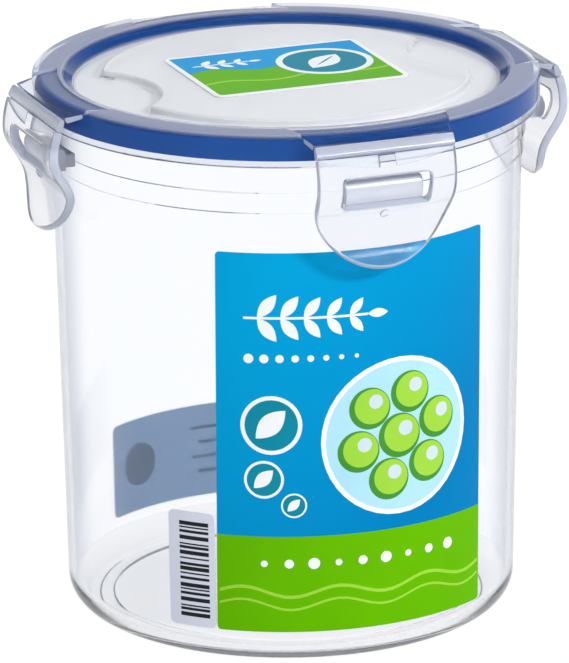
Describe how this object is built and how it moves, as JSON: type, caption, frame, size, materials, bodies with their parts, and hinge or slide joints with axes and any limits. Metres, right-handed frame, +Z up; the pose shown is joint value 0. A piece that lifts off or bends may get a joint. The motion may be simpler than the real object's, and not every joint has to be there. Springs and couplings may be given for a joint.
{
  "type": "round food storage container",
  "caption": "Clear round food container: tapered tub, press-on lid with a blue seal ring, and snap latches on film hinges that hook over lugs on the collar.",
  "frame": {"origin": "centre of the foot ring, on the surface that the tub stands on", "axes": "+Z up along the tub's axis, front latch and front label towards -Y, +X to the right"},
  "size_m": [0.1122, 0.1122, 0.1133],
  "materials": {
    "clear_polypropylene": "clear moulded polypropylene, glossy, faintly blue-grey at its edges",
    "blue_silicone": "smooth moulded silicone rubber, satin blue",
    "front_print": "printed film label, glossy, blue over a green band",
    "tab_print": "printed film label, pale lilac-grey with dark bars",
    "back_print": "printed film label, blue-grey",
    "sticker_print": "printed film sticker, glossy, green and blue with a white edge"
  },
  "bodies": {
    "tub": {"tub": "clear_polypropylene", "front_label": "front_print", "barcode_tab": "tab_print", "back_label": "back_print"},
    "lid": {"lid": "clear_polypropylene", "seal": "blue_silicone", "lid_sticker": "sticker_print"},
    "film_front": {"film_hinge_front": "clear_polypropylene"},
    "latch_front": {"latch_front": "clear_polypropylene"},
    "film_right": {"film_hinge_right": "clear_polypropylene"},
    "latch_right": {"latch_right": "clear_polypropylene"},
    "film_back": {"film_hinge_back": "clear_polypropylene"},
    "latch_back": {"latch_back": "clear_polypropylene"},
    "film_left": {"film_hinge_left": "clear_polypropylene"},
    "latch_left": {"latch_left": "clear_polypropylene"}
  },
  "joints": [
    {"name": "lid_lift", "type": "slide", "parent": "tub", "child": "lid", "axis": [0, 0, 1], "range_m": [0, 0.02]},
    {"name": "film_front_bend", "type": "hinge", "parent": "lid", "child": "film_front", "pos_m": [0, -0.05342, 0.11095], "axis": [-1, 0, 0], "range_deg": [0, 80]},
    {"name": "latch_front_swing", "type": "hinge", "parent": "film_front", "child": "latch_front", "pos_m": [0, -0.0539, 0.10963], "axis": [-1, 0, 0], "range_deg": [0, 100]},
    {"name": "film_right_bend", "type": "hinge", "parent": "lid", "child": "film_right", "pos_m": [0.05342, 0, 0.11095], "axis": [0, -1, 0], "range_deg": [0, 80]},
    {"name": "latch_right_swing", "type": "hinge", "parent": "film_right", "child": "latch_right", "pos_m": [0.0539, 0, 0.10963], "axis": [0, -1, 0], "range_deg": [0, 100]},
    {"name": "film_back_bend", "type": "hinge", "parent": "lid", "child": "film_back", "pos_m": [0, 0.05342, 0.11095], "axis": [1, 0, 0], "range_deg": [0, 80]},
    {"name": "latch_back_swing", "type": "hinge", "parent": "film_back", "child": "latch_back", "pos_m": [0, 0.0539, 0.10963], "axis": [1, 0, 0], "range_deg": [0, 100]},
    {"name": "film_left_bend", "type": "hinge", "parent": "lid", "child": "film_left", "pos_m": [-0.05342, 0, 0.11095], "axis": [0, 1, 0], "range_deg": [0, 80]},
    {"name": "latch_left_swing", "type": "hinge", "parent": "film_left", "child": "latch_left", "pos_m": [-0.0539, 0, 0.10963], "axis": [0, 1, 0], "range_deg": [0, 100]}
  ],
  "couplings": [
    {"joint": "film_front_bend", "follows": "lid_lift", "rad_per_m": 69.8},
    {"joint": "film_right_bend", "follows": "lid_lift", "rad_per_m": 69.8},
    {"joint": "film_back_bend", "follows": "lid_lift", "rad_per_m": 69.8},
    {"joint": "film_left_bend", "follows": "lid_lift", "rad_per_m": 69.8}
  ]
}
